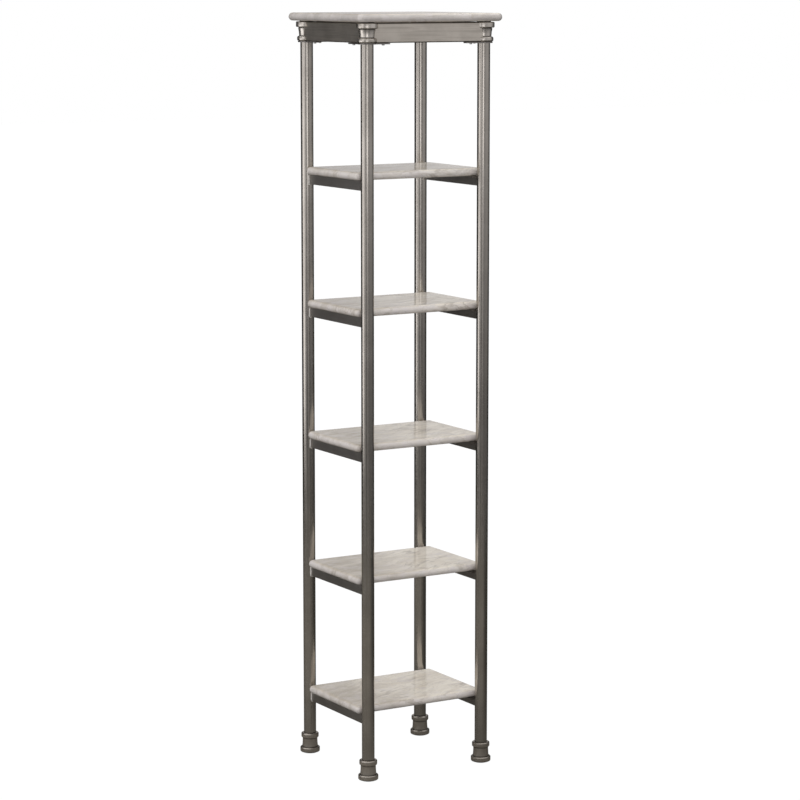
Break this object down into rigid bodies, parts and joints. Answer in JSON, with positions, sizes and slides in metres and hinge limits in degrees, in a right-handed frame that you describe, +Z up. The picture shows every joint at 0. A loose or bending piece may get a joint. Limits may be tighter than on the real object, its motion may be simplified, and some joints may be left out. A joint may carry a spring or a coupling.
{
  "type": "open shelf tower",
  "caption": "Tall narrow open bathroom tower: marble shelves and top on round metal legs with turned feet and capitals.",
  "frame": {"origin": "on the floor, midway between the legs", "axes": "+Z up, +Y to the back, +X to the right seen from the front, along the longer side"},
  "size_m": [0.414, 0.382, 1.918],
  "materials": {
    "marble": "gloss",
    "turned_metal": "satin",
    "brushed_sheet": "satin",
    "frame_metal": "satin",
    "zinc": "satin",
    "black_rubber": "matte",
    "black_plastic": "matte"
  },
  "bodies": {
    "frame": {"marble_top": "marble", "marble_shelf_1": "marble", "marble_shelf_2": "marble", "marble_shelf_3": "marble", "marble_shelf_4": "marble", "marble_shelf_5": "marble", "leg_tube_front_left": "turned_metal", "leg_tube_front_right": "turned_metal", "leg_tube_back_left": "turned_metal", "leg_tube_back_right": "turned_metal", "capital_front_left": "turned_metal", "capital_front_right": "turned_metal", "capital_back_left": "turned_metal", "capital_back_right": "turned_metal", "foot_front_left": "turned_metal", "foot_front_right": "turned_metal", "foot_back_left": "turned_metal", "foot_back_right": "turned_metal", "leg_insert_front_left": "zinc", "leg_insert_front_right": "zinc", "leg_insert_back_left": "zinc", "leg_insert_back_right": "zinc", "top_plug_front_left": "black_plastic", "top_plug_front_right": "black_plastic", "top_plug_back_left": "black_plastic", "top_plug_back_right": "black_plastic", "corner_plate_front_left": "frame_metal", "corner_plate_front_right": "frame_metal", "corner_plate_back_left": "frame_metal", "corner_plate_back_right": "frame_metal", "plate_screw_front_left_1": "zinc", "plate_screw_front_left_2": "zinc", "plate_screw_front_right_1": "zinc", "plate_screw_front_right_2": "zinc", "plate_screw_back_left_1": "zinc", "plate_screw_back_left_2": "zinc", "plate_screw_back_right_1": "zinc", "plate_screw_back_right_2": "zinc", "apron_front": "brushed_sheet", "apron_back": "brushed_sheet", "apron_left": "brushed_sheet", "apron_right": "brushed_sheet", "rail_left_1": "frame_metal", "rail_left_2": "frame_metal", "rail_left_3": "frame_metal", "rail_left_4": "frame_metal", "rail_left_5": "frame_metal", "rail_right_1": "frame_metal", "rail_right_2": "frame_metal", "rail_right_3": "frame_metal", "rail_right_4": "frame_metal", "rail_right_5": "frame_metal"},
    "pad_front_left": {"glide_pad_front_left": "black_rubber"},
    "stud_front_left": {"glide_stud_front_left": "zinc"},
    "pad_front_right": {"glide_pad_front_right": "black_rubber"},
    "stud_front_right": {"glide_stud_front_right": "zinc"},
    "pad_back_left": {"glide_pad_back_left": "black_rubber"},
    "stud_back_left": {"glide_stud_back_left": "zinc"},
    "pad_back_right": {"glide_pad_back_right": "black_rubber"},
    "stud_back_right": {"glide_stud_back_right": "zinc"}
  },
  "joints": [
    {"name": "front_left_glide_height", "type": "slide", "parent": "frame", "child": "pad_front_left", "axis": [0, 0, -1], "range_m": [0, 0.012]},
    {"name": "front_left_glide_turn", "type": "hinge", "parent": "pad_front_left", "child": "stud_front_left", "pos_m": [-0.168, -0.152, 0.012], "axis": [0, 0, 1], "range_deg": [0, 3450]},
    {"name": "front_right_glide_height", "type": "slide", "parent": "frame", "child": "pad_front_right", "axis": [0, 0, -1], "range_m": [0, 0.012]},
    {"name": "front_right_glide_turn", "type": "hinge", "parent": "pad_front_right", "child": "stud_front_right", "pos_m": [0.168, -0.152, 0.012], "axis": [0, 0, 1], "range_deg": [0, 3450]},
    {"name": "back_left_glide_height", "type": "slide", "parent": "frame", "child": "pad_back_left", "axis": [0, 0, -1], "range_m": [0, 0.012]},
    {"name": "back_left_glide_turn", "type": "hinge", "parent": "pad_back_left", "child": "stud_back_left", "pos_m": [-0.168, 0.152, 0.012], "axis": [0, 0, 1], "range_deg": [0, 3450]},
    {"name": "back_right_glide_height", "type": "slide", "parent": "frame", "child": "pad_back_right", "axis": [0, 0, -1], "range_m": [0, 0.012]},
    {"name": "back_right_glide_turn", "type": "hinge", "parent": "pad_back_right", "child": "stud_back_right", "pos_m": [0.168, 0.152, 0.012], "axis": [0, 0, 1], "range_deg": [0, 3450]}
  ],
  "couplings": [
    {"joint": "front_left_glide_height", "follows": "front_left_glide_turn", "m_per_rad": 0.00019894},
    {"joint": "front_right_glide_height", "follows": "front_right_glide_turn", "m_per_rad": 0.00019894},
    {"joint": "back_left_glide_height", "follows": "back_left_glide_turn", "m_per_rad": 0.00019894},
    {"joint": "back_right_glide_height", "follows": "back_right_glide_turn", "m_per_rad": 0.00019894}
  ]
}
